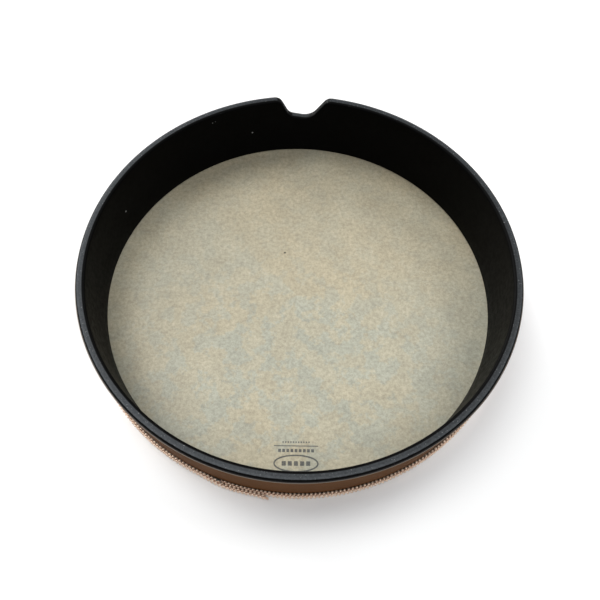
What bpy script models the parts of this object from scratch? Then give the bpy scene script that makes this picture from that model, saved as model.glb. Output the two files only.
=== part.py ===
"""A factory-tuned frame drum of the bodhran family.

A fibre hoop carries a film head that is glued round its outside under tension. A covering sheet
hides the hoop's outer wall, and a gimp braid hides the edge of the head's collar.

Metres, +Z up. The drum lies on its head: the origin is the centre of the playing face, and the
hoop's open edge is on top. The thumb notch in that edge is centred on +Y. An azimuth is an angle
from +Y towards +X, seen from above.
"""

import math

import bmesh
import bpy
import numpy as np

# Driving dimensions of the hoop.
HOOP_DIAMETER = 0.4064
HOOP_HEIGHT = 0.0635
HOOP_WALL = 0.0085
EDGE_ROUND = 0.0023
EDGE_SEGMENTS = 3
HOOP_JOIN_AZIMUTH = math.radians(-90)

# Clearance between pieces that touch on the real drum.
GAP = 0.0002

# Thumb notch: corners of its outline as arc length from its middle, height from the rim, radius.
NOTCH_CORNERS = (
    (-0.0252, 0.0, 0.010),
    (-0.0150, -0.0190, 0.010),
    (0.0081, -0.0230, 0.016),
    (0.0253, 0.0, 0.010),
)
NOTCH_REACH = 0.034
NOTCH_STEP = 0.002
ARC_POINTS = 8

# Head: a flat film with a collar that turns up round the hoop's outer edge.
FILM_THICKNESS = 0.00025
COLLAR_TOP = 0.0098
COLLAR_BEND = 0.0029
BEND_SEGMENTS = 3

# Adhesive layers and the covering sheet.
GLUE_THICKNESS = 0.0002
HEAD_GLUE_BOTTOM = 0.0038
HEAD_GLUE_TOP = 0.0090
WRAP_THICKNESS = 0.0005
WRAP_BOTTOM = 0.0106
WRAP_BELOW_RIM = 0.0035
WRAP_SEAM_AZIMUTH = math.radians(-115)
WRAP_SEAM_GAP = 0.0006
WRAP_GLUE_MARGIN = 0.0006

# Gimp braid: one strip round the drum whose outer end laps over its inner end.
BRAID_WIDTH = 0.012
BRAID_THICKNESS = 0.003
BRAID_EDGE_THICKNESS = 0.0022
BRAID_EDGE_ROUND = 0.001
BRAID_BOTTOM = 0.0004
BRAID_GLUE_MARGIN = 0.0012
BRAID_START_AZIMUTH = math.radians(197.6)
BRAID_OVERLAP = math.radians(11.2)
BRAID_LIFT_LENGTH = math.radians(8)
BRAID_TAIL_LENGTH = math.radians(2.5)
BRAID_TAIL_FLARE = 0.0008
BRAID_STEP = math.radians(2)

TURN_STEP = math.radians(3)
TURN_STEPS = round(2 * math.pi / TURN_STEP)

# Radii and heights that follow from the driving dimensions.
HOOP_RADIUS = HOOP_DIAMETER / 2
HOOP_BOTTOM = FILM_THICKNESS + GAP
RIM_TOP = HOOP_BOTTOM + HOOP_HEIGHT
GLUE_INNER = HOOP_RADIUS + GAP
GLUE_OUTER = GLUE_INNER + GLUE_THICKNESS
LAYER_INNER = GLUE_OUTER + GAP
WRAP_OUTER = LAYER_INNER + WRAP_THICKNESS
FILM_OUTER = LAYER_INNER + FILM_THICKNESS
BRAID_GLUE_INNER = WRAP_OUTER + GAP
BRAID_GLUE_OUTER = BRAID_GLUE_INNER + GLUE_THICKNESS
BRAID_INNER = BRAID_GLUE_OUTER + GAP
BRAID_LIFT = BRAID_THICKNESS + GAP

# Colour, roughness and metallic value of each finish.
FINISHES = {
    "black_satin": ((0.022, 0.022, 0.024), 0.42, 0.0),
    "clear_glue": ((0.62, 0.55, 0.38), 0.30, 0.0),
    "brown_sheet": ((0.115, 0.058, 0.030), 0.50, 0.0),
    "parchment_film": ((0.42, 0.39, 0.28), 0.45, 0.0),
    "copper_braid": ((0.72, 0.43, 0.30), 0.60, 0.0),
}


def clear_scene():
    for obj in list(bpy.data.objects):
        bpy.data.objects.remove(obj)


def new_collection(name):
    collection = bpy.data.collections.new(name)
    bpy.context.scene.collection.children.link(collection)
    return collection


def make_material(name):
    colour, roughness, metallic = FINISHES[name]
    material = bpy.data.materials.new(name)
    material.use_nodes = True
    shader = material.node_tree.nodes["Principled BSDF"]
    shader.inputs["Base Color"].default_value = (*colour, 1.0)
    shader.inputs["Roughness"].default_value = roughness
    shader.inputs["Metallic"].default_value = metallic
    return material


def add_piece(name, data, finish, collection):
    """Links a mesh or curve as one named piece with its finish."""
    piece = bpy.data.objects.new(name, data)
    collection.objects.link(piece)
    data.materials.append(bpy.data.materials.get(finish) or make_material(finish))
    return piece


def smooth(mesh):
    mesh.shade_smooth()
    mesh.set_sharp_from_angle(angle=math.radians(35))


def rounded_outline(corners):
    """Points along an open outline whose inner corners are arcs of the given radii."""
    spots = [np.array((x, z)) for x, z, _ in corners]
    spots = [np.array((-NOTCH_REACH, 0.0)), *spots, np.array((NOTCH_REACH, 0.0))]
    points = [spots[0]]
    for i, (_, _, radius) in enumerate(corners, start=1):
        back = spots[i - 1] - spots[i]
        ahead = spots[i + 1] - spots[i]
        back = back / np.linalg.norm(back)
        ahead = ahead / np.linalg.norm(ahead)
        half_angle = math.acos(float(np.clip(back @ ahead, -1, 1))) / 2
        bisector = (back + ahead) / np.linalg.norm(back + ahead)
        centre = spots[i] + bisector * radius / math.sin(half_angle)
        first = spots[i] + back * radius / math.tan(half_angle) - centre
        last = spots[i] + ahead * radius / math.tan(half_angle) - centre
        for t in np.linspace(0, 1, ARC_POINTS):
            spoke = first * (1 - t) + last * t
            points.append(centre + spoke * radius / np.linalg.norm(spoke))
    points.append(spots[-1])
    return np.array(points)


def edge_height(azimuth, below):
    """Height of a line that keeps the given distance below the hoop's open edge."""
    outline = rounded_outline(NOTCH_CORNERS)
    along = np.gradient(outline, axis=0)
    along /= np.linalg.norm(along, axis=1)[:, None]
    lowered = outline + below * np.column_stack((along[:, 1], -along[:, 0]))
    drop = np.interp(azimuth * HOOP_RADIUS, lowered[:, 0], lowered[:, 1], -below, -below)
    return RIM_TOP + drop


def column_azimuths(seam, seam_gap):
    """Azimuths from one side of the seam round to the other, close together across the notch."""
    reach = NOTCH_REACH / HOOP_RADIUS
    first = seam + seam_gap / 2 / HOOP_RADIUS
    last = seam + 2 * math.pi - seam_gap / 2 / HOOP_RADIUS
    before = np.linspace(first, -reach, math.ceil((-reach - first) / TURN_STEP), endpoint=False)
    across = np.linspace(-reach, reach, round(2 * NOTCH_REACH / NOTCH_STEP), endpoint=False)
    after = np.linspace(reach, last, math.ceil((last - reach) / TURN_STEP) + 1)
    return np.concatenate((before, across, after))


def wall_sheet(name, radius, bottom, below_rim, seam, seam_gap=0.0):
    """An open sheet standing on a circle, from its bottom edge up to a line under the open edge."""
    azimuths = column_azimuths(seam, seam_gap)
    tops = edge_height(azimuths, below_rim)
    bm = bmesh.new()
    bmesh.ops.create_grid(bm, x_segments=len(azimuths) - 1, y_segments=1, size=0.5)
    for vert in bm.verts:
        column = round((vert.co.x + 0.5) * (len(azimuths) - 1))
        height = tops[column] if vert.co.y > 0 else bottom
        azimuth = azimuths[column]
        vert.co = (radius * math.sin(azimuth), radius * math.cos(azimuth), height)
    if not seam_gap:
        bmesh.ops.remove_doubles(bm, verts=bm.verts, dist=1e-6)
    bmesh.ops.recalc_face_normals(bm, faces=bm.faces)
    if bm.faces[0].normal.dot(bm.faces[0].calc_center_median()) < 0:
        bmesh.ops.reverse_faces(bm, faces=bm.faces)
    mesh = bpy.data.meshes.new(name)
    bm.to_mesh(mesh)
    bm.free()
    smooth(mesh)
    return mesh


def thicken_inwards(piece, thickness):
    solidify = piece.modifiers.new("thickness", "SOLIDIFY")
    solidify.thickness = thickness
    solidify.offset = -1


def make_hoop(collection):
    sheet = wall_sheet("shell_hoop", HOOP_RADIUS, HOOP_BOTTOM, 0.0, HOOP_JOIN_AZIMUTH)
    hoop = add_piece("shell_hoop", sheet, "black_satin", collection)
    thicken_inwards(hoop, HOOP_WALL)
    bevel = hoop.modifiers.new("rounded edges", "BEVEL")
    bevel.width = EDGE_ROUND
    bevel.segments = EDGE_SEGMENTS
    bevel.limit_method = "ANGLE"
    bevel.angle_limit = math.radians(50)
    bevel.use_clamp_overlap = False


def make_wrap(collection):
    sheet = wall_sheet(
        "outer_wrap", WRAP_OUTER, WRAP_BOTTOM, WRAP_BELOW_RIM, WRAP_SEAM_AZIMUTH, WRAP_SEAM_GAP
    )
    wrap = add_piece("outer_wrap", sheet, "brown_sheet", collection)
    thicken_inwards(wrap, WRAP_THICKNESS)


def make_wrap_adhesive(collection):
    sheet = wall_sheet(
        "wrap_adhesive",
        GLUE_OUTER,
        WRAP_BOTTOM + WRAP_GLUE_MARGIN,
        WRAP_BELOW_RIM + WRAP_GLUE_MARGIN,
        WRAP_SEAM_AZIMUTH,
    )
    layer = add_piece("wrap_adhesive", sheet, "clear_glue", collection)
    thicken_inwards(layer, GLUE_THICKNESS)


def turn(name, profile, finish, collection, closed):
    """Turns a profile of (radius, height) points, which runs down its outer side, about Z."""
    mesh = bpy.data.meshes.new(name)
    edges = [(i, i + 1) for i in range(len(profile) - 1)]
    if closed:
        edges.append((len(profile) - 1, 0))
    mesh.from_pydata([(r, 0.0, z) for r, z in profile], edges, [])
    piece = add_piece(name, mesh, finish, collection)
    screw = piece.modifiers.new("turned", "SCREW")
    screw.axis = "Z"
    screw.steps = TURN_STEPS
    screw.render_steps = TURN_STEPS
    screw.use_merge_vertices = True
    screw.merge_threshold = 1e-5
    screw.use_smooth_shade = True
    return piece


def turn_ring(name, inner, outer, bottom, top, finish, collection):
    profile = ((inner, top), (outer, top), (outer, bottom), (inner, bottom))
    turn(name, profile, finish, collection, closed=True)


def bend(radius, start_angle, end_angle):
    """The collar's bend at one radius, as profile points between two angles below level."""
    centre_radius = LAYER_INNER - COLLAR_BEND
    centre_height = FILM_THICKNESS + COLLAR_BEND
    return [
        (centre_radius + radius * math.cos(a), centre_height - radius * math.sin(a))
        for a in np.linspace(start_angle, end_angle, BEND_SEGMENTS + 1)
    ]


def make_head(collection):
    inside = bend(COLLAR_BEND, math.pi / 2, 0)
    outside = bend(COLLAR_BEND + FILM_THICKNESS, 0, math.pi / 2)
    profile = [(0, FILM_THICKNESS), *inside, (LAYER_INNER, COLLAR_TOP)]
    profile += [(FILM_OUTER, COLLAR_TOP), *outside, (0, 0)]
    turn("drumhead_film", profile, "parchment_film", collection, closed=False)


def braid_radius(travel):
    """Radius of the braid's inner face after travelling this far round from its inner end."""
    lift_end = 2 * math.pi - BRAID_TAIL_LENGTH / 2
    lift = np.clip((travel - lift_end) / BRAID_LIFT_LENGTH + 1, 0, 1)
    tail = np.clip((travel - 2 * math.pi - BRAID_OVERLAP) / BRAID_TAIL_LENGTH + 1, 0, 1)
    eased_lift = lift * lift * (3 - 2 * lift)
    return BRAID_INNER + BRAID_LIFT * eased_lift + BRAID_TAIL_FLARE * tail * tail


def make_braid_section(guides):
    """The strip's cross-section: flat on the drum, rounded outside."""
    half = BRAID_WIDTH / 2
    shoulder = half - BRAID_EDGE_ROUND
    section = bpy.data.curves.new("braid_section", "CURVE")
    spline = section.splines.new("POLY")
    corners = (
        (0, -half),
        (BRAID_EDGE_THICKNESS, -half),
        (BRAID_THICKNESS, -shoulder),
        (BRAID_THICKNESS, shoulder),
        (BRAID_EDGE_THICKNESS, half),
        (0, half),
    )
    spline.points.add(len(corners) - 1)
    for point, (out, up) in zip(spline.points, reversed(corners)):
        point.co = (out, up, 0, 1)
    spline.use_cyclic_u = True
    guide = bpy.data.objects.new("braid_section", section)
    guide.hide_render = True
    guide.display_type = "WIRE"
    guides.objects.link(guide)
    return guide


def make_braid(collection, guides):
    length = 2 * math.pi + BRAID_OVERLAP
    travels = np.linspace(0, length, round(length / BRAID_STEP) + 1)
    path = bpy.data.curves.new("braid_trim", "CURVE")
    path.dimensions = "3D"
    path.twist_mode = "Z_UP"
    path.bevel_mode = "OBJECT"
    path.bevel_object = make_braid_section(guides)
    path.use_fill_caps = True
    spline = path.splines.new("POLY")
    spline.points.add(len(travels) - 1)
    height = BRAID_BOTTOM + BRAID_WIDTH / 2
    for point, travel in zip(spline.points, travels):
        radius = braid_radius(travel)
        azimuth = BRAID_START_AZIMUTH - travel
        point.co = (radius * math.sin(azimuth), radius * math.cos(azimuth), height, 1)
    add_piece("braid_trim", path, "copper_braid", collection)


def main():
    clear_scene()
    drum = new_collection("bodhran")
    guides = new_collection("guides")
    make_hoop(drum)
    make_wrap_adhesive(drum)
    make_wrap(drum)
    make_head(drum)
    turn_ring(
        "head_adhesive_ring",
        GLUE_INNER,
        GLUE_OUTER,
        HEAD_GLUE_BOTTOM,
        HEAD_GLUE_TOP,
        "clear_glue",
        drum,
    )
    turn_ring(
        "braid_adhesive",
        BRAID_GLUE_INNER,
        BRAID_GLUE_OUTER,
        BRAID_BOTTOM + BRAID_GLUE_MARGIN,
        BRAID_BOTTOM + BRAID_WIDTH - BRAID_GLUE_MARGIN,
        "clear_glue",
        drum,
    )
    make_braid(drum, guides)


main()
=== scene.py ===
"""Looks of a factory-tuned frame drum that lies on its head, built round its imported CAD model.

Metres, in the CAD frame: the playing face is at z = 0, the hoop's open edge is on top, and the
thumb notch is centred on +Y. An azimuth is an angle from +Y towards +X, seen from above.
"""

import itertools
import math
import random

import bpy
import numpy as np
from mathutils import Matrix, Vector


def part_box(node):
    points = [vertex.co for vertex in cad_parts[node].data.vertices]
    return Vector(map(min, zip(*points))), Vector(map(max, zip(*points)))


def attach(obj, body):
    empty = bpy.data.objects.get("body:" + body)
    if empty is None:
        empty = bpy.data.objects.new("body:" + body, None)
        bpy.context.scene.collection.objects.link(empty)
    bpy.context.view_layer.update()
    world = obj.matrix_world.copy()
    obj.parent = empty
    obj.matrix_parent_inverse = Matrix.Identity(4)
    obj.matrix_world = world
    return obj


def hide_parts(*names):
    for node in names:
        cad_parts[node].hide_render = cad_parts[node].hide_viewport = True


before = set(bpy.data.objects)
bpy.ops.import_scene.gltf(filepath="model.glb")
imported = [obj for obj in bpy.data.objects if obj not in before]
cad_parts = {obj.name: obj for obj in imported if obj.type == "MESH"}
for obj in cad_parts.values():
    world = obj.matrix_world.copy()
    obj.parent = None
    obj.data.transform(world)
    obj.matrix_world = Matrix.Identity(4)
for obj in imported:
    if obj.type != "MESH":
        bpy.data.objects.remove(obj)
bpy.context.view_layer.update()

BODY = "root"


def linear(red, green, blue):
    """A colour given as 8-bit sRGB values, as linear RGBA."""
    values = [v / 255 for v in (red, green, blue)]
    return [v / 12.92 if v <= 0.04045 else ((v + 0.055) / 1.055) ** 2.4 for v in values] + [1.0]


# Camera: where it stands, how it is turned, and its lens on a full-frame sensor.
CAMERA_PLACE = (-0.0025, -0.2666, 0.4475)
CAMERA_HEADING = math.radians(2.72)
CAMERA_PITCH = math.radians(70.04)
CAMERA_ROLL = math.radians(-0.67)
LENS_MM = 29.62
SENSOR_MM = 36
LENS_SHIFT = (0.0273, 0.149)

# Light: patches of sky as name, bearing from +X, height and width in degrees, strength and colour.
WARM_WHITE = (1.0, 0.99, 0.97)
SKY_PATCHES = (
    ("left_low", 130, 15, 40, 2.9, WARM_WHITE),
    ("left_middle", 145, 44, 28, 0.5, WARM_WHITE),
    ("left_high", 135, 62, 32, 1.25, WARM_WHITE),
    ("back_right", 47, 37, 36, 1.3, (1.0, 0.995, 0.99)),
    ("front_high", 290, 62, 56, 1.15, (0.97, 0.985, 1.0)),
)
ROOM_COLOUR = (0.95, 0.975, 1.0, 1)
ROOM_STRENGTH = 0.12
FLOOR_SIZE = 6
FLOOR_DROP = 0.00005

# Boxes of the CAD nodes, which give most radii and heights below.
HOOP_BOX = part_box("shell_hoop")
WRAP_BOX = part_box("outer_wrap")
WRAP_GLUE_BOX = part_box("wrap_adhesive")
HEAD_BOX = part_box("drumhead_film")
BRAID_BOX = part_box("braid_trim")
BRAID_GLUE_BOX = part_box("braid_adhesive")

# Hoop. The shares place points up its walls and across the flat of its rim.
HOOP_RADIUS = HOOP_BOX[1].x
HOOP_BOTTOM = HOOP_BOX[0].z
RIM_TOP = HOOP_BOX[1].z
HOOP_WALL = 0.0085
EDGE_ROUND = 0.0023
EDGE_POINTS = 8
BOTTOM_ROUND = 0.0012
BOTTOM_POINTS = 5
WALL_SHARES = (0, 0.25, 0.5, 0.75, 0.9)
RIM_FLAT_SHARES = (0.42, 0.5, 0.58)
TURN_STEP = math.radians(0.5)

# Thumb notch: corners of its outline as arc length from its middle, height from the rim, radius.
NOTCH_CORNERS = (
    (-0.0252, 0.0, 0.010),
    (-0.0150, -0.0190, 0.010),
    (0.0081, -0.0230, 0.016),
    (0.0253, 0.0, 0.010),
)
NOTCH_REACH = 0.034
NOTCH_STEP = 0.0007
ARC_POINTS = 24

# Covering sheet: from WRAP_BEND under its top edge down, its points level out to its bottom edge.
WRAP_OUTER = WRAP_BOX[1].x
WRAP_BOTTOM = WRAP_BOX[0].z
WRAP_BELOW_RIM = RIM_TOP - WRAP_BOX[1].z
WRAP_THICKNESS = 0.0006
WRAP_EDGE_EASE = 0.00018
WRAP_BEND = 0.002
WRAP_SHARES = (0, 0.3, 0.6, 0.85, 1)
WRAP_SEAM_AZIMUTH = math.radians(-115)
WRAP_SEAM_GAP = 0.0005
WRAP_SHARP_ANGLE = math.radians(50)
LAYER_SLIP = 0.00002

# Glue under the covering: its top edge dips in the middle and climbs a little up the hoop. From
# GLUE_BEND under that edge down, its faces run straight to its level bottom edge.
GLUE_BELOW_WRAP = 0.0002
GLUE_BEND = 0.001
GLUE_DIP = 0.00006
GLUE_CLIMB = 0.0001

# Head.
HEAD_RADIUS = HEAD_BOX[1].x
COLLAR_TOP = HEAD_BOX[1].z
FILM_THICKNESS = 0.00025
COLLAR_BEND = 0.0029
BEND_POINTS = 9
HEAD_STEPS = 480
HEAD_BANDS = 15
HEAD_SHARP_ANGLE = math.radians(40)

# Gimp braid: its route is the CAD strip's. Travel is an angle from its inner end, and a lift is
# how long the strip takes to climb on to that end, and the travel where it is up.
BRAID_BOTTOM = BRAID_BOX[0].z
BRAID_WIDTH = BRAID_BOX[1].z - BRAID_BOX[0].z
BRAID_OUTER = BRAID_BOX[1].x
BRAID_INNER = BRAID_GLUE_BOX[1].x + LAYER_SLIP
BRAID_THICKNESS = BRAID_OUTER - BRAID_INNER
BRAID_START_AZIMUTH = math.radians(197.6)
BRAID_OVERLAP = math.radians(11.2)
BRAID_TRAVEL = 2 * math.pi + BRAID_OVERLAP
BRAID_LENGTH = BRAID_TRAVEL * BRAID_INNER
BRAID_SQUEEZE = 0.8
BRAID_LIFT = BRAID_THICKNESS * BRAID_SQUEEZE
BRAID_BOTTOM_LIFT = (math.radians(7), 2 * math.pi + math.radians(0.2))
BRAID_TOP_LIFT = (math.radians(5.4), 2 * math.pi + math.radians(2))
BRAID_TAIL_LENGTH = math.radians(2.5)
BRAID_TAIL_FLARE = 0.0012

# The inner end is pressed flat. Past the overlap the strip loosens, and where it comes round to
# the overlap again it is pressed again, over these travels.
INNER_END_SQUEEZE = 0.45
INNER_END_TRAVEL = math.radians(2.5)
LOOSENING_TRAVEL = math.radians(3)
PRESSING_TRAVEL = math.radians(5)

# Plait: pairs of yarns that cross over a core tape. YARN_INSET keeps one yarn of each pair off the
# strip's edges, and the loops there are as full and as short as LOOP_FULLNESS and LOOP_SHARPNESS say.
PLAIT_PERIOD = 0.01098
PLAIT_PAIRS = 3
PLAIT_SHARPNESS = 0.97
PLAIT_SAMPLES = 26
YARN_WIDTH = 0.0016
YARN_THICKNESS = 0.0012
YARN_SIDES = 8
YARN_PLY_TURN = 0.0011
YARN_INSET = 0.00025
LOOP_FULLNESS = 1.2
LOOP_SHARPNESS = 8
CORE_SHARE = 0.92
CORE_THICKNESS = 0.0016
CORE_POINTS = 900
CORE_SIDES = 12
THREAD_MAP = "thread"

# Frayed end: loose threads that start a little inside the cut.
LOOSE_THREADS = 26
LOOSE_POINTS = 9
LOOSE_SIDES = 6
LOOSE_ROOT = 0.0015
LOOSE_FLOOR = 0.0006
LOOSE_SEED = 11

# Shell paint: the worn band on the rim by its radii, whose grey is also a painted highlight on the
# notch's level floor and whose lighter outer edge is partly scuffs and partly a painted highlight,
# the direction of the side that is painted lighter as sheen, and a few chips inside the shell as
# place and radius.
PAINT_TONES = ((0.0018, 0.0018, 0.0018, 1), (0.0028, 0.0028, 0.0029, 1))
WORN_GREY_AND_HIGHLIGHT = (0.04, 0.0435, 0.047, 1)
NICKED_PAINT = (0.3, 0.31, 0.32, 1)
WORN_BAND_START = (0.1968, 0.1976)
WORN_AND_HIGHLIT_OUTER_EDGE = (0.1992, 0.201)
SHEEN_SIDE = (-0.87, -0.5, 0)
SHELL_CHIPS = (
    ((-0.0950, 0.1710, 0.0560), 0.0011),
    ((-0.0922, 0.1725, 0.0563), 0.0010),
    ((-0.1798, 0.0746, 0.0310), 0.0010),
    ((-0.0553, 0.1867, 0.0300), 0.0009),
)

# Covering, thread, tape, glue and floor: the darker tone first where there are two. TONE_STOPS are
# the values of the noise where each tone stands alone.
COVERING_TONES = ((0.1, 0.042, 0.014, 1), (0.12, 0.051, 0.018, 1))
# The next colour is a painted highlight where the covering's cut edge faces up.
COVERING_EDGE_HIGHLIGHT = (0.22, 0.185, 0.155, 1)
YARN_TONES = ((0.94, 0.69, 0.53, 1), (1.0, 0.81, 0.64, 1))
LOOSE_TONES = ((0.8, 0.54, 0.39, 1), (0.93, 0.7, 0.53, 1))
CORE_TONES = (linear(138, 90, 66), linear(166, 114, 88))
EDGE_GLUE_TONES = ((0.01, 0.007, 0.005, 1), (0.02, 0.014, 0.01, 1))
# The joint glue is dark as contact cement, and dark also as painted shade where it shows in the gap
# behind the braid's lifted end.
JOINT_GLUE_AND_GAP_SHADE_TONES = ((0.03, 0.018, 0.011, 1), (0.05, 0.03, 0.018, 1))
FLOOR_TONES = ((0.9, 0.905, 0.91, 1), (0.92, 0.925, 0.93, 1))
TONE_STOPS = (0.3, 0.7)

# Printed film, and one dark dot on it as place and radius.
FILM_CREAM = linear(174, 164, 139)
FILM_SLATE = linear(162, 162, 147)
FILM_DOT = ((-0.0145, 0.0515, 0.0002), 0.0012)
DOT_BROWN = linear(40, 34, 28)

# Printed ornament: its rows as distance from the drum's centre, height, pitch, length of a mark
# and reach to either side. The first row has a ring round it.
INK = linear(52, 56, 62)
INK_EDGE = 0.00015
ORNAMENT_AZIMUTH = math.radians(178.8)
PRINTED_ROWS = (
    (0.1760, 0.0042, 0.0056, 0.0038, 0.0140),
    (0.1640, 0.0030, 0.0038, 0.0026, 0.0171),
    (0.1596, 0.0009, 0.0010, 0.0020, 0.0205),
    (0.1560, 0.0014, 0.0024, 0.0013, 0.0132),
)
RING_HALF_WIDTH = 0.020
RING_HALF_HEIGHT = 0.0075
RING_HALF_LINE = 0.0007


# ---------------------------------------------------------------- camera, floor and lights


def make_camera():
    """A wide lens, held over the near side of the drum and looking steeply down at it."""
    forward = Vector((0, math.cos(CAMERA_PITCH), -math.sin(CAMERA_PITCH)))
    level_up = Vector((0, math.sin(CAMERA_PITCH), math.cos(CAMERA_PITCH)))
    level_right = Vector((1, 0, 0))
    right = math.cos(CAMERA_ROLL) * level_right + math.sin(CAMERA_ROLL) * level_up
    up = math.cos(CAMERA_ROLL) * level_up - math.sin(CAMERA_ROLL) * level_right
    turn = Matrix.Rotation(CAMERA_HEADING, 3, "Z")
    axes = Matrix((turn @ right, turn @ up, turn @ -forward)).transposed()
    lens = bpy.data.cameras.new("camera")
    lens.lens = LENS_MM
    lens.sensor_width = SENSOR_MM
    lens.shift_x, lens.shift_y = LENS_SHIFT
    lens.clip_start = 0.01
    camera = bpy.data.objects.new("camera", lens)
    camera.matrix_world = Matrix.Translation(CAMERA_PLACE) @ axes.to_4x4()
    bpy.context.scene.collection.objects.link(camera)
    bpy.context.scene.camera = camera


def add_soft_sun(name, bearing, elevation, spread, strength, colour):
    """Soft parallel light from a patch of sky, by its bearing from +X, its height and its width."""
    light = bpy.data.lights.new(name, "SUN")
    light.angle = math.radians(spread)
    light.energy = strength
    light.color = colour
    around = math.radians(bearing)
    height = math.radians(elevation)
    level = math.cos(height)
    source = Vector((math.cos(around) * level, math.sin(around) * level, math.sin(height)))
    lamp = bpy.data.objects.new(name, light)
    lamp.rotation_mode = "QUATERNION"
    lamp.rotation_quaternion = source.to_track_quat("Z", "Y")
    bpy.context.scene.collection.objects.link(lamp)


def make_lights():
    for patch in SKY_PATCHES:
        add_soft_sun(*patch)
    world = bpy.data.worlds.new("room")
    world.use_nodes = True
    background = world.node_tree.nodes["Background"]
    background.inputs["Color"].default_value = ROOM_COLOUR
    background.inputs["Strength"].default_value = ROOM_STRENGTH
    bpy.context.scene.world = world
    bpy.context.scene.view_settings.view_transform = "Standard"


# ---------------------------------------------------------------- material helpers


class Shader:
    """A node material: its tree, its Principled BSDF, and short calls that add nodes to it."""

    def __init__(self, name, roughness, specular):
        self.material = bpy.data.materials.new(name)
        self.material.use_nodes = True
        self.tree = self.material.node_tree
        self.bsdf = self.tree.nodes["Principled BSDF"]
        self.set(self.bsdf, "Roughness", roughness)
        self.set(self.bsdf, "Specular IOR Level", specular)
        self.place = self.add("ShaderNodeTexCoord").outputs["Object"]

    def set(self, node, socket, value):
        if isinstance(value, bpy.types.NodeSocket):
            self.tree.links.new(value, node.inputs[socket])
        else:
            node.inputs[socket].default_value = value

    def add(self, kind, inputs=(), **settings):
        node = self.tree.nodes.new(kind)
        for key, value in settings.items():
            setattr(node, key, value)
        for socket, value in dict(inputs).items():
            self.set(node, socket, value)
        return node

    def math(self, operation, first, second=0.0):
        return self.add("ShaderNodeMath", {0: first, 1: second}, operation=operation).outputs[0]

    def noise(self, scale, detail, roughness, distortion=0.0, place=None):
        sockets = {
            "Vector": place or self.place,
            "Scale": scale,
            "Detail": detail,
            "Roughness": roughness,
            "Distortion": distortion,
        }
        return self.add("ShaderNodeTexNoise", sockets).outputs["Fac"]

    def cells(self, scale):
        """Distance to the nearest edge between small cells, as in a pebbled grain."""
        sockets = {"Vector": self.place, "Scale": scale}
        node = self.add("ShaderNodeTexVoronoi", sockets, feature="DISTANCE_TO_EDGE")
        return node.outputs["Distance"]

    def step(self, value, low, high, out_low=0.0, out_high=1.0):
        """value eased from out_low at low to out_high at high."""
        sockets = {0: value, 1: low, 2: high, 3: out_low, 4: out_high}
        kind = "ShaderNodeMapRange"
        return self.add(kind, sockets, interpolation_type="SMOOTHSTEP").outputs[0]

    def parts(self, vector):
        return self.add("ShaderNodeSeparateXYZ", {0: vector}).outputs

    def upward(self):
        """How far the surface faces up: 1 where it is level."""
        return self.parts(self.add("ShaderNodeNewGeometry").outputs["Normal"])[2]

    def along(self, vector, direction):
        """How far a place lies along a unit direction."""
        sockets = {0: vector, 1: direction}
        return self.add("ShaderNodeVectorMath", sockets, operation="DOT_PRODUCT").outputs["Value"]

    def squared(self, value, scale=1.0):
        return self.math("POWER", self.math("ABSOLUTE", self.math("DIVIDE", value, scale)), 2)

    def length(self, first, second):
        return self.math("SQRT", self.math("ADD", self.squared(first), self.squared(second)))

    def band(self, value, centre, half):
        """1 where value is within half of centre, with an edge as soft as printed ink's."""
        off = self.math("ABSOLUTE", self.math("SUBTRACT", value, centre))
        return self.step(off, half - INK_EDGE, half + INK_EDGE, 1.0, 0.0)

    def spot(self, centre, radius):
        """1 within a small ball, with a soft edge."""
        sockets = {0: self.place, 1: centre}
        node = self.add("ShaderNodeVectorMath", sockets, operation="DISTANCE")
        return self.step(node.outputs["Value"], radius * 0.6, radius * 1.2, 1.0, 0.0)

    def stretched(self, share):
        """The object's place with its level measures shrunk, which draws a texture out sideways."""
        sockets = {0: self.place, 1: (share, share, 1)}
        return self.add("ShaderNodeVectorMath", sockets, operation="MULTIPLY").outputs[0]

    def clouded(self, tones, scale, detail, roughness):
        """Two tones that run into each other in clouds of noise."""
        node = self.add("ShaderNodeValToRGB", {"Fac": self.noise(scale, detail, roughness)})
        for element, stop, tone in zip(node.color_ramp.elements, TONE_STOPS, tones):
            element.position = stop
            element.color = tone
        return node.outputs["Color"]

    def mix(self, share, first, second, blend="MIX"):
        node = self.add("ShaderNodeMix", data_type="RGBA", blend_type=blend)
        self.set(node, 0, share)
        self.set(node, 6, first)
        self.set(node, 7, second)
        return node.outputs[2]

    def scaled(self, colour, factor):
        """colour times a number from nodes."""
        grey = self.add("ShaderNodeCombineColor", {0: factor, 1: factor, 2: factor})
        return self.mix(1.0, colour, grey.outputs[0], "MULTIPLY")

    def bump(self, height, distance, strength):
        sockets = {"Height": height, "Distance": distance, "Strength": strength}
        return self.add("ShaderNodeBump", sockets).outputs["Normal"]

    def finish(self, **values):
        for socket, value in values.items():
            self.set(self.bsdf, socket.replace("_", " "), value)
        return self.material


# ---------------------------------------------------------------- mesh helpers


def add_mesh(name, points, faces, material):
    mesh = bpy.data.meshes.new(name)
    mesh.from_pydata(points, [], faces)
    mesh.materials.append(material)
    mesh.shade_smooth()
    piece = bpy.data.objects.new(name, mesh)
    bpy.context.scene.collection.objects.link(piece)
    return piece


def grid_faces(rows, columns, close_rows=False, close_columns=False, first=0):
    """Quads over a rows x columns array of points, closed along either direction if asked."""
    i = np.arange(rows if close_rows else rows - 1)
    j = np.arange(columns if close_columns else columns - 1)
    i, j = (a.ravel() for a in np.meshgrid(i, j, indexing="ij"))
    next_i = (i + 1) % rows
    next_j = (j + 1) % columns
    corners = (i * columns + j, i * columns + next_j, next_i * columns + next_j, next_i * columns + j)
    return np.stack(corners, 1) + first


def travelled(path):
    """Length along a path at each of its points."""
    return np.concatenate(([0], np.cumsum(np.linalg.norm(np.diff(path, axis=0), axis=1))))


def settle(piece, node):
    """Rides a finished piece on the drum and lets it stand for its CAD node."""
    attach(piece, BODY)
    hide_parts(node)


# ---------------------------------------------------------------- the hoop and what covers it


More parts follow.
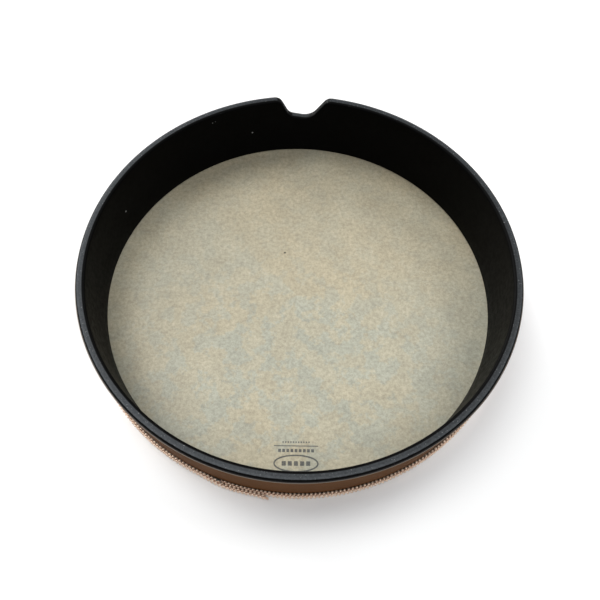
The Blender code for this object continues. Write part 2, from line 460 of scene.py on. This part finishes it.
def notch_outline():
    """Arc lengths and heights along the notch at even steps: its corners are arcs."""
    spots = [np.array((x, z)) for x, z, _ in NOTCH_CORNERS]
    spots = [np.array((-NOTCH_REACH, 0.0)), *spots, np.array((NOTCH_REACH, 0.0))]
    points = [spots[0]]
    for i, (_, _, radius) in enumerate(NOTCH_CORNERS, start=1):
        back = spots[i - 1] - spots[i]
        ahead = spots[i + 1] - spots[i]
        back = back / np.linalg.norm(back)
        ahead = ahead / np.linalg.norm(ahead)
        half_angle = math.acos(float(np.clip(back @ ahead, -1, 1))) / 2
        bisector = (back + ahead) / np.linalg.norm(back + ahead)
        centre = spots[i] + bisector * radius / math.sin(half_angle)
        first = spots[i] + back * radius / math.tan(half_angle) - centre
        last = spots[i] + ahead * radius / math.tan(half_angle) - centre
        for t in np.linspace(0, 1, ARC_POINTS):
            spoke = first * (1 - t) + last * t
            points.append(centre + spoke * radius / np.linalg.norm(spoke))
    points.append(spots[-1])
    points = np.array(points)
    travel = travelled(points)
    wanted = np.linspace(0, travel[-1], round(travel[-1] / NOTCH_STEP) + 1)
    return np.column_stack([np.interp(wanted, travel, points[:, k]) for k in (0, 1)])


def edge_line(seam=-math.pi, seam_gap=0.0):
    """The open edge all the way round as arc lengths, heights and unit normals, from the seam."""
    notch = notch_outline()
    first = seam * HOOP_RADIUS + seam_gap / 2
    last = (seam + 2 * math.pi) * HOOP_RADIUS - seam_gap / 2
    step = TURN_STEP * HOOP_RADIUS
    before = np.linspace(first, -NOTCH_REACH, round((-NOTCH_REACH - first) / step), endpoint=False)
    after = np.linspace(NOTCH_REACH, last, round((last - NOTCH_REACH) / step) + 1)[1:]
    along = np.concatenate((before, notch[:, 0], after))
    height = np.concatenate((0 * before, notch[:, 1], 0 * after)) + RIM_TOP
    inside = np.abs(along) <= NOTCH_REACH
    tangent = np.gradient(notch, axis=0)
    tangent /= np.linalg.norm(tangent, axis=1)[:, None]
    normal = np.zeros((len(along), 2))
    normal[:, 1] = 1
    normal[inside] = np.column_stack((-tangent[:, 1], tangent[:, 0]))
    return along, height, normal


def on_wall(along, radius, height):
    """Points at an arc length round the hoop's outer circle, a radius and a height."""
    azimuth = along / HOOP_RADIUS
    return np.stack((radius * np.sin(azimuth), radius * np.cos(azimuth), height), -1)


def wall_rings(section, line):
    """Rings of points of a wall that runs round under an edge line.

    The section is a closed loop of (radius, depth, level, share). With a share of 1 a point
    follows the edge line at that depth under it, with 0 it stays at that level, and with a share
    between them it lies part of the way.
    """
    along, height, normal = line
    rings = []
    for radius, depth, level, share in section:
        edge_along = along - normal[:, 0] * depth
        edge_height = height - normal[:, 1] * depth
        at = edge_along * share + along * (1 - share)
        up = edge_height * share + level * (1 - share)
        rings.append(on_wall(at, radius, up))
    return np.stack(rings, 1)


def quarter_round(radius, count):
    """Pairs of distances from the two faces that a rounded edge joins, from the first face on."""
    angles = np.linspace(0, math.pi / 2, count)
    return [(radius * (1 - math.cos(a)), radius * (1 - math.sin(a))) for a in angles]


def hoop_section():
    """The hoop's section: up the outside, over the rounded rim, down the inside, and back."""
    outer = HOOP_RADIUS
    inner = HOOP_RADIUS - HOOP_WALL
    wall_foot = HOOP_BOTTOM + BOTTOM_ROUND
    edge = quarter_round(EDGE_ROUND, EDGE_POINTS)
    foot = quarter_round(BOTTOM_ROUND, BOTTOM_POINTS)[1:]
    section = [(outer, EDGE_ROUND, wall_foot, share) for share in WALL_SHARES]
    section += [(outer - inset, depth, 0, 1) for inset, depth in edge]
    section += [(outer - share * HOOP_WALL, 0, 0, 1) for share in RIM_FLAT_SHARES]
    section += [(inner + inset, depth, 0, 1) for depth, inset in edge]
    section += [(inner, EDGE_ROUND, wall_foot, share) for share in WALL_SHARES[::-1]]
    section += [(inner + inset, 0, HOOP_BOTTOM + rise, 0) for inset, rise in foot]
    section += [(outer - inset, 0, HOOP_BOTTOM + rise, 0) for rise, inset in foot[:-1]]
    return section


def make_hoop(material):
    """The hoop. Its edge line ends where it begins, so the line's last place is left out."""
    line = [values[:-1] for values in edge_line()]
    points = wall_rings(hoop_section(), line)
    rows, columns = points.shape[:2]
    faces = grid_faces(rows, columns, close_rows=True, close_columns=True)[:, ::-1]
    piece = add_mesh("hoop_shell", points.reshape(-1, 3).tolist(), faces.tolist(), material)
    settle(piece, "shell_hoop")


def add_sheet(name, section, material):
    """A wall that is open at the covering's seam, with its two cut ends closed."""
    points = wall_rings(section, edge_line(WRAP_SEAM_AZIMUTH, WRAP_SEAM_GAP))
    rows, columns = points.shape[:2]
    faces = grid_faces(rows, columns, close_columns=True)[:, ::-1].tolist()
    faces.append(list(range(columns)))
    faces.append([(rows - 1) * columns + i for i in range(columns)][::-1])
    piece = add_mesh(name, points.reshape(-1, 3).tolist(), faces, material)
    piece.data.set_sharp_from_angle(angle=WRAP_SHARP_ANGLE)
    return piece


def make_wrap(material):
    """The covering sheet: its outer top edge is eased in two facets, and it follows the notch."""
    inner = WRAP_OUTER - WRAP_THICKNESS
    ease = WRAP_EDGE_EASE
    half_way = ease * 0.3
    top = WRAP_BELOW_RIM
    section = [(WRAP_OUTER, top + WRAP_BEND, WRAP_BOTTOM, share) for share in WRAP_SHARES]
    section += [
        (WRAP_OUTER, top + ease, 0, 1),
        (WRAP_OUTER - half_way, top + half_way, 0, 1),
        (WRAP_OUTER - ease, top, 0, 1),
        (inner, top, 0, 1),
        (inner, top + WRAP_BEND, 0, 1),
        (inner, top + WRAP_BEND, WRAP_BOTTOM, 0),
    ]
    settle(add_sheet("wrap_sheet", section, material), "outer_wrap")


def make_wrap_glue(material):
    """The glue between the covering and the hoop, which shows as a thin line at its top."""
    outer = WRAP_OUTER - WRAP_THICKNESS - LAYER_SLIP
    inner = HOOP_RADIUS + LAYER_SLIP
    top = WRAP_BELOW_RIM + GLUE_BELOW_WRAP
    bottom = WRAP_GLUE_BOX[0].z
    section = [
        (outer, top + GLUE_BEND, bottom, 0),
        (outer, top + GLUE_BEND, 0, 1),
        (outer, top, 0, 1),
        ((outer + inner) / 2, top + GLUE_DIP, 0, 1),
        (inner, top - GLUE_CLIMB, 0, 1),
        (inner, top + GLUE_BEND, 0, 1),
        (inner, top + GLUE_BEND, bottom, 0),
    ]
    settle(add_sheet("wrap_glue_line", section, material), "wrap_adhesive")


def film_profile():
    """The film as (radius, height): out on its upper face, over the collar, and back below."""
    collar_inner = HEAD_RADIUS - FILM_THICKNESS
    centre_radius = collar_inner - COLLAR_BEND
    centre_height = FILM_THICKNESS + COLLAR_BEND
    outer_bend = COLLAR_BEND + FILM_THICKNESS
    turn = np.linspace(0, math.pi / 2, BEND_POINTS)
    inside = [
        (centre_radius + COLLAR_BEND * math.sin(a), centre_height - COLLAR_BEND * math.cos(a))
        for a in turn
    ]
    lip = [(collar_inner, COLLAR_TOP), (HEAD_RADIUS, COLLAR_TOP)]
    outside = [
        (centre_radius + outer_bend * math.cos(a), centre_height - outer_bend * math.sin(a))
        for a in turn
    ]
    rings = np.linspace(0, 1, HEAD_BANDS + 1)[1:-1] * centre_radius
    upper = [(r, FILM_THICKNESS) for r in rings]
    lower = [(r, 0.0) for r in rings[::-1]]
    return upper + inside + lip + outside + lower


def make_head(material):
    """The film: a disc whose edge turns up into a collar outside the hoop."""
    profile = np.array(film_profile())
    columns = len(profile)
    radius, height = profile[:, 0], profile[:, 1]
    azimuth = np.arange(HEAD_STEPS) * 2 * math.pi / HEAD_STEPS
    across = np.outer(np.sin(azimuth), radius)
    along = np.outer(np.cos(azimuth), radius)
    level = np.broadcast_to(height, (HEAD_STEPS, columns))
    points = np.stack((across, along, level), -1).reshape(-1, 3).tolist()
    upper_centre = len(points)
    lower_centre = len(points) + 1
    points += [(0, 0, FILM_THICKNESS), (0, 0, 0)]
    faces = grid_faces(HEAD_STEPS, columns, close_rows=True)[:, ::-1].tolist()
    for i in range(HEAD_STEPS):
        start = i * columns
        next_start = (i + 1) % HEAD_STEPS * columns
        faces.append([start, upper_centre, next_start])
        faces.append([next_start + columns - 1, lower_centre, start + columns - 1])
    piece = add_mesh("head_film", points, faces, material)
    piece.data.set_sharp_from_angle(angle=HEAD_SHARP_ANGLE)
    settle(piece, "drumhead_film")


# ---------------------------------------------------------------- the gimp braid


def eased(value, low, high):
    """0 up to low, 1 from high, and a smooth rise between them."""
    share = np.clip((value - low) / (high - low), 0, 1)
    return share * share * (3 - 2 * share)


def braid_radius(travel, height):
    """Radius of the braid's inner face: its outer end climbs over its inner end, bottom first."""
    lifts = [eased(travel, end - length, end) for length, end in (BRAID_BOTTOM_LIFT, BRAID_TOP_LIFT)]
    share = np.clip((height - BRAID_BOTTOM) / BRAID_WIDTH, 0, 1)
    lift = lifts[0] * (1 - share) + lifts[1] * share
    tail = np.clip((travel - BRAID_TRAVEL) / BRAID_TAIL_LENGTH + 1, 0, 1)
    return BRAID_INNER + BRAID_LIFT * lift + BRAID_TAIL_FLARE * tail * tail


def braid_squeeze(travel):
    """Thickness of the strip as a share of its loose thickness: it is pressed where it is doubled."""
    full_turn = 2 * math.pi
    end_rise = eased(travel, 0, INNER_END_TRAVEL)
    loosening = eased(travel, BRAID_OVERLAP, BRAID_OVERLAP + LOOSENING_TRAVEL)
    pressing = eased(travel, full_turn - PRESSING_TRAVEL, full_turn)
    inner_end = INNER_END_SQUEEZE + (BRAID_SQUEEZE - INNER_END_SQUEEZE) * end_rise
    first_turn = inner_end + (1 - BRAID_SQUEEZE) * loosening
    last_turn = 1 - (1 - BRAID_SQUEEZE) * pressing
    return np.minimum(first_turn, last_turn)


def on_braid(along, out, height):
    """Points at a length along the braid, a distance out from its inner face and a height."""
    travel = along / BRAID_INNER
    azimuth = BRAID_START_AZIMUTH - travel
    radius = braid_radius(travel, height) + out * braid_squeeze(travel)
    return np.stack((radius * np.sin(azimuth), radius * np.cos(azimuth), height), -1)


def tube(path, across, width, thickness, sides):
    """Rings of an elliptical tube along a path: across is its wide direction at each point."""
    tangent = np.gradient(path, axis=0)
    tangent /= np.linalg.norm(tangent, axis=1)[:, None]
    wide = across - (across * tangent).sum(1)[:, None] * tangent
    wide /= np.linalg.norm(wide, axis=1)[:, None]
    thin = np.cross(tangent, wide)
    angle = np.arange(sides) * 2 * math.pi / sides
    wide_part = np.cos(angle)[None, :, None] * wide[:, None] * width[:, None, None] / 2
    thin_part = np.sin(angle)[None, :, None] * thin[:, None] * thickness[:, None, None] / 2
    return path[:, None] + wide_part + thin_part


def upright(count):
    """The wide direction of a strip that stands on edge, at each of its points."""
    return np.tile((0.0, 0.0, 1.0), (count, 1))


def add_tubes(name, tubes, lengths, material):
    """One piece of closed tubes, with a UV map that runs round and along each of them."""
    points, faces, uvs = [], [], []
    first = 0
    for rings, travel in zip(tubes, lengths):
        rows, sides = rings.shape[:2]
        points += rings.reshape(-1, 3).tolist()
        faces += grid_faces(rows, sides, close_columns=True, first=first).tolist()
        i, j = np.meshgrid(np.arange(rows - 1), np.arange(sides), indexing="ij")
        i, j = i.ravel(), j.ravel()
        u = np.stack((j, j + 1, j + 1, j), 1) / sides
        v = np.stack((travel[i], travel[i], travel[i + 1], travel[i + 1]), 1)
        uvs.append(np.stack((u, v), -1).reshape(-1, 2))
        faces.append([first + k for k in range(sides)][::-1])
        faces.append([first + (rows - 1) * sides + k for k in range(sides)])
        uvs.append(np.zeros((2 * sides, 2)))
        first += rows * sides
    piece = add_mesh(name, points, faces, material)
    layer = piece.data.uv_layers.new(name=THREAD_MAP)
    layer.data.foreach_set("uv", np.concatenate(uvs).astype(np.float32).ravel())
    return piece


def yarn_route(pair, side):
    """Length, distance out, height and fullness all along one yarn, by its pair and its side.

    A yarn is fullest where it turns at the strip's edge, which makes the row of small loops there.
    """
    count = round(BRAID_LENGTH / PLAIT_PERIOD * PLAIT_SAMPLES)
    along = np.linspace(0, BRAID_LENGTH, count)
    phase = 2 * math.pi * (along / PLAIT_PERIOD + pair / PLAIT_PAIRS)
    own = phase + side * math.pi / PLAIT_PAIRS / 2
    wave = np.arcsin(PLAIT_SHARPNESS * np.sin(own)) / math.asin(PLAIT_SHARPNESS)
    reach = (BRAID_WIDTH - YARN_WIDTH) / 2 - (YARN_INSET if side > 0 else 0)
    height = BRAID_BOTTOM + BRAID_WIDTH / 2 + reach * wave
    swing = (BRAID_THICKNESS - YARN_THICKNESS) / 2
    out = BRAID_THICKNESS / 2 + swing * np.sin(2 * phase)
    return along, out, height, 1 + LOOP_FULLNESS * wave**LOOP_SHARPNESS


def make_yarn(name, pair, side, material):
    along, out, height, fullness = yarn_route(pair, side)
    path = on_braid(along, out, height)
    radial = path * (1, 1, 0)
    radial /= np.linalg.norm(radial, axis=1)[:, None]
    across = np.cross(np.gradient(path, axis=0), radial)
    width = np.full(len(path), YARN_WIDTH)
    thickness = YARN_THICKNESS * fullness * braid_squeeze(along / BRAID_INNER)
    rings = tube(path, across, width, thickness, YARN_SIDES)
    settle(add_tubes(name, [rings], [travelled(path)], material), "braid_trim")


def make_core(material):
    """The flat tape inside the plait, which shows between the yarns."""
    def all_along(value):
        return np.full(CORE_POINTS, value)

    along = np.linspace(0, BRAID_LENGTH, CORE_POINTS)
    path = on_braid(along, all_along(BRAID_THICKNESS / 2), all_along(BRAID_BOTTOM + BRAID_WIDTH / 2))
    width = all_along(BRAID_WIDTH * CORE_SHARE)
    rings = tube(path, upright(CORE_POINTS), width, all_along(CORE_THICKNESS), CORE_SIDES)
    settle(add_tubes("braid_core", [rings], [along], material), "braid_trim")


def make_braid(yarn_material, core_material):
    yarns = itertools.product(range(PLAIT_PAIRS), (-1, 1))
    for number, (pair, side) in enumerate(yarns, start=1):
        make_yarn(f"braid_yarn_{number}", pair, side, yarn_material)
    make_core(core_material)


def make_frayed_end(material):
    """Loose thread ends where the braid's outer end was cut."""
    draw = random.Random(LOOSE_SEED)
    share = np.linspace(0, 1, LOOSE_POINTS)
    tubes, lengths = [], []
    for k in range(LOOSE_THREADS):
        level = k / (LOOSE_THREADS - 1)
        height = BRAID_BOTTOM + BRAID_WIDTH * (0.06 + 0.88 * level)
        out = BRAID_THICKNESS * draw.uniform(0.25, 0.8)
        reach = draw.uniform(0.0012, 0.0042)
        droop = draw.uniform(-0.3, 0.25) - 0.25 * level
        flare = draw.uniform(-0.1, 0.5)
        along = BRAID_LENGTH - LOOSE_ROOT + (reach + LOOSE_ROOT) * share
        rise = np.clip(height + droop * reach * share**2, LOOSE_FLOOR, None)
        path = on_braid(along, out + flare * reach * share**2, rise)
        width = draw.uniform(0.0005, 0.0008) * (1 - 0.75 * share**3)
        tubes.append(tube(path, upright(LOOSE_POINTS), width, width, LOOSE_SIDES))
        lengths.append(along)
    piece = add_tubes("braid_frayed_end", tubes, lengths, material)
    settle(piece, "braid_trim")


# ---------------------------------------------------------------- materials


def black_satin():
    """Black shell paint, worn to grey where the flat rim is stood on; painted sheen lightens one side.
    """
    shader = Shader("black_satin", roughness=0.5, specular=0.03)
    upward = shader.upward()
    across, along, _ = shader.parts(shader.place)
    radius = shader.length(across, along)
    # Painted sheen: the colour is lighter towards one side of the drum and darker towards the other.
    painted_sheen_side = shader.step(shader.along(shader.place, SHEEN_SIDE), -0.2, 0.2, 0.78, 1.22)
    paint = scuffed_paint(shader, upward, painted_sheen_side)
    # Worn grey, which on the notch's level floor is a painted highlight and is lighter on one side as
    # painted sheen.
    worn = worn_paint_and_highlight(shader, radius, painted_sheen_side)
    colour = shader.mix(worn_band_and_notch_highlight(shader, upward, radius), paint, worn)
    roughness = shader.step(shader.noise(220, 4, 0.65), 0.3, 0.75, 0.4, 0.55)
    normal = shader.bump(shader.noise(1400, 2, 0.6), 0.00012, 0.35)
    return shader.finish(Base_Color=colour, Roughness=roughness, Normal=normal)


def worn_band_and_notch_highlight(shader, upward, radius):
    """1 on level faces outside a radius: the worn outer part of the rim's flat, and the notch's floor,
    where the grey is a painted highlight; with a slightly ragged edge.
    """
    wobble = shader.step(shader.noise(260, 4, 0.7), 0.3, 0.7, -0.02, 0.02)
    flat = shader.step(shader.math("ADD", upward, wobble), 0.9, 0.985)
    return shader.math("MULTIPLY", flat, shader.step(radius, *WORN_BAND_START))


def worn_paint_and_highlight(shader, radius, painted_sheen_side):
    """Uneven grey with light nicks, lighter near the outer edge as scuffs and painted highlight, and
    lighter on one side as painted sheen.
    """
    tone = shader.step(shader.noise(480, 5, 0.7), 0.25, 0.75, 0.75, 1.25)
    # Lighter near the outer edge: partly scuffs, partly a painted highlight along that edge.
    outer_wear_and_highlight = shader.step(radius, *WORN_AND_HIGHLIT_OUTER_EDGE, 1.0, 1.35)
    tone = shader.math("MULTIPLY", tone, shader.math("MULTIPLY", outer_wear_and_highlight, painted_sheen_side))
    nicks = shader.step(shader.noise(1100, 1, 0.5), 0.7, 0.76)
    return shader.mix(shader.math("MULTIPLY", nicks, 0.8), shader.scaled(WORN_GREY_AND_HIGHLIGHT, tone), NICKED_PAINT)


def scuffed_paint(shader, upward, painted_sheen_side):
    """Black paint with grey scuffs along the rim's rounded edges, painted stronger on one side as
    sheen, and chips inside the shell.
    """
    paint = shader.clouded(PAINT_TONES, 60, 4, 0.6)
    scuffs = shader.step(shader.noise(300, 3, 0.6, place=shader.stretched(0.2)), 0.66, 0.7)
    tilt = shader.math("ABSOLUTE", shader.math("SUBTRACT", upward, 0.75))
    rounded = shader.step(tilt, 0.0, 0.2, 1.0, 0.0)
    scuffs = shader.math("MULTIPLY", scuffs, shader.math("MULTIPLY", rounded, painted_sheen_side))
    paint = shader.mix(shader.math("MULTIPLY", scuffs, 0.7), paint, NICKED_PAINT)
    for place, size in SHELL_CHIPS:
        paint = shader.mix(shader.spot(place, size), paint, NICKED_PAINT)
    return paint


def brown_sheet():
    """Brown covering with a fine grain, and a painted highlight where its cut edge faces up."""
    shader = Shader("brown_sheet", roughness=0.7, specular=0.035)
    colour = shader.clouded(COVERING_TONES, 35, 5, 0.6)
    # Painted highlight: paler where the cut edge faces up.
    colour = shader.mix(shader.step(shader.upward(), 0.35, 0.7), colour, COVERING_EDGE_HIGHLIGHT)
    normal = shader.bump(shader.cells(1500), 0.0002, 0.3)
    return shader.finish(Base_Color=colour, Normal=normal)


def parchment_film():
    """Film printed to look like skin: cream with slate patches, speckles and an ornament."""
    shader = Shader("parchment_film", roughness=0.5, specular=0.35)
    base = shader.mix(slate_share(shader), FILM_CREAM, FILM_SLATE)
    cloud = shader.step(shader.noise(30, 8, 0.8), 0.3, 0.7, 0.9, 1.1)
    fine = shader.noise(260, 6, 0.85)
    speckle = shader.step(fine, 0.25, 0.75, 0.72, 1.28)
    colour = shader.scaled(base, shader.math("MULTIPLY", speckle, cloud))
    colour = shader.mix(ornament_ink(shader), colour, INK)
    colour = shader.mix(shader.spot(*FILM_DOT), colour, DOT_BROWN)
    normal = shader.bump(fine, 0.00005, 0.3)
    return shader.finish(Base_Color=colour, Normal=normal)


def slate_share(shader):
    """Share of the slate tone: ragged patches that are strongest in a zone towards the near side."""
    across, along, _ = shader.parts(shader.place)
    side_reach = shader.math("DIVIDE", shader.math("ADD", across, 0.01), 1.25)
    near_reach = shader.math("ADD", along, 0.085)
    zone = shader.step(shader.length(side_reach, near_reach), 0.045, 0.17, 1.0, 0.25)
    ragged = shader.noise(44, 12, 0.66, 0.1)
    shift = shader.math("MULTIPLY", shader.step(ragged, 0.475, 0.545, -0.34, 0.34), zone)
    bias = shader.step(along, -0.12, 0.15, 0.2, -0.3)
    broad = shader.step(shader.noise(8, 2, 0.5), 0.3, 0.7, 0.3, 0.7)
    return shader.math("ADD", broad, shader.math("ADD", shift, bias))


def ornament_ink(shader):
    """Ink of a plain ornament: a ringed row of blocks, a row of dashes, a rule and a row of dots."""
    outward = (math.sin(ORNAMENT_AZIMUTH), math.cos(ORNAMENT_AZIMUTH), 0)
    sideways = (-outward[1], outward[0], 0)
    radius = shader.along(shader.place, outward)
    side = shader.along(shader.place, sideways)
    ink = ring_ink(shader, radius, side)
    for row, height, pitch, length, reach in PRINTED_ROWS:
        beat = shader.math("PINGPONG", side, pitch / 2)
        marks = shader.step(beat, length / 2 - INK_EDGE, length / 2 + INK_EDGE, 1.0, 0.0)
        marks = shader.math("MULTIPLY", marks, shader.band(radius, row, height / 2))
        marks = shader.math("MULTIPLY", marks, shader.band(side, 0, reach))
        ink = shader.math("MAXIMUM", ink, marks)
    patchy = shader.step(shader.noise(900, 3, 0.6), 0.3, 0.7, 0.72, 0.95)
    return shader.math("MULTIPLY", ink, patchy)


def ring_ink(shader, radius, side):
    """1 on an ellipse's line: its equation's value over that value's slope is the way off it."""
    up = shader.math("SUBTRACT", radius, PRINTED_ROWS[0][0])
    side_part = shader.squared(side, RING_HALF_WIDTH)
    up_part = shader.squared(up, RING_HALF_HEIGHT)
    value = shader.math("SUBTRACT", shader.math("ADD", side_part, up_part), 1)
    side_slope = shader.math("DIVIDE", side, RING_HALF_WIDTH**2)
    up_slope = shader.math("DIVIDE", up, RING_HALF_HEIGHT**2)
    slope = shader.math("MULTIPLY", shader.length(side_slope, up_slope), 2)
    return shader.band(shader.math("DIVIDE", value, slope), 0, RING_HALF_LINE)


def thread(name, tones):
    """Shiny twisted thread: its plies wind round along the map that each yarn carries, each painted
    lighter on one flank and darker on the other as shade.
    """
    dark, light = tones
    shader = Shader(name, roughness=0.38, specular=0.5)
    round_it, along_it, _ = shader.parts(shader.add("ShaderNodeUVMap", uv_map=THREAD_MAP).outputs[0])
    turns = shader.math("DIVIDE", along_it, YARN_PLY_TURN)
    ply = shader.math("ADD", shader.math("MULTIPLY", round_it, 2.0), turns)
    wave = shader.math("SINE", shader.math("MULTIPLY", ply, 2 * math.pi))
    height = shader.math("ABSOLUTE", shader.math("SINE", shader.math("MULTIPLY", ply, math.pi)))
    tone = shader.step(shader.noise(500, 3, 0.6), 0.25, 0.75)
    # Painted shade: each ply is lighter on one flank and darker on the other.
    colour = shader.scaled(shader.mix(tone, dark, light), shader.step(wave, -1, 1, 0.84, 1.1))
    normal = shader.bump(height, 0.00025, 0.6)
    return shader.finish(Base_Color=colour, Metallic=0.35, Normal=normal)


def core_tape():
    shader = Shader("core_tape", roughness=0.8, specular=0.2)
    return shader.finish(Base_Color=shader.clouded(CORE_TONES, 900, 3, 0.6))


def cured_glue(name, tones):
    shader = Shader(name, roughness=0.3, specular=0.5)
    colour = shader.clouded(tones, 120, 4, 0.6)
    normal = shader.bump(shader.noise(400, 2, 0.5), 0.0001, 0.4)
    return shader.finish(Base_Color=colour, Normal=normal)


def studio_floor():
    shader = Shader("studio_floor", roughness=0.7, specular=0.2)
    return shader.finish(Base_Color=shader.clouded(FLOOR_TONES, 3, 2, 0.5))


def make_floor():
    bpy.ops.mesh.primitive_plane_add(size=FLOOR_SIZE, location=(0, 0, -FLOOR_DROP))
    floor = bpy.context.object
    floor.name = "floor"
    floor.data.materials.append(studio_floor())


def coat_hidden_glue(material):
    """The two glue rings, out of sight but for the gap behind the braid's lifted end, stay CAD solids
    and only get a material; their dark colour is the cement's and, in that gap, also painted shade.
    """
    for node in ("head_adhesive_ring", "braid_adhesive"):
        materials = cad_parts[node].data.materials
        materials.clear()
        materials.append(material)


def main():
    make_camera()
    make_lights()
    make_floor()
    make_hoop(black_satin())
    make_wrap(brown_sheet())
    make_wrap_glue(cured_glue("edge_glue", EDGE_GLUE_TONES))
    make_head(parchment_film())
    make_braid(thread("copper_thread", YARN_TONES), core_tape())
    make_frayed_end(thread("loose_thread", LOOSE_TONES))
    coat_hidden_glue(cured_glue("joint_glue_and_gap_shade", JOINT_GLUE_AND_GAP_SHADE_TONES))


main()
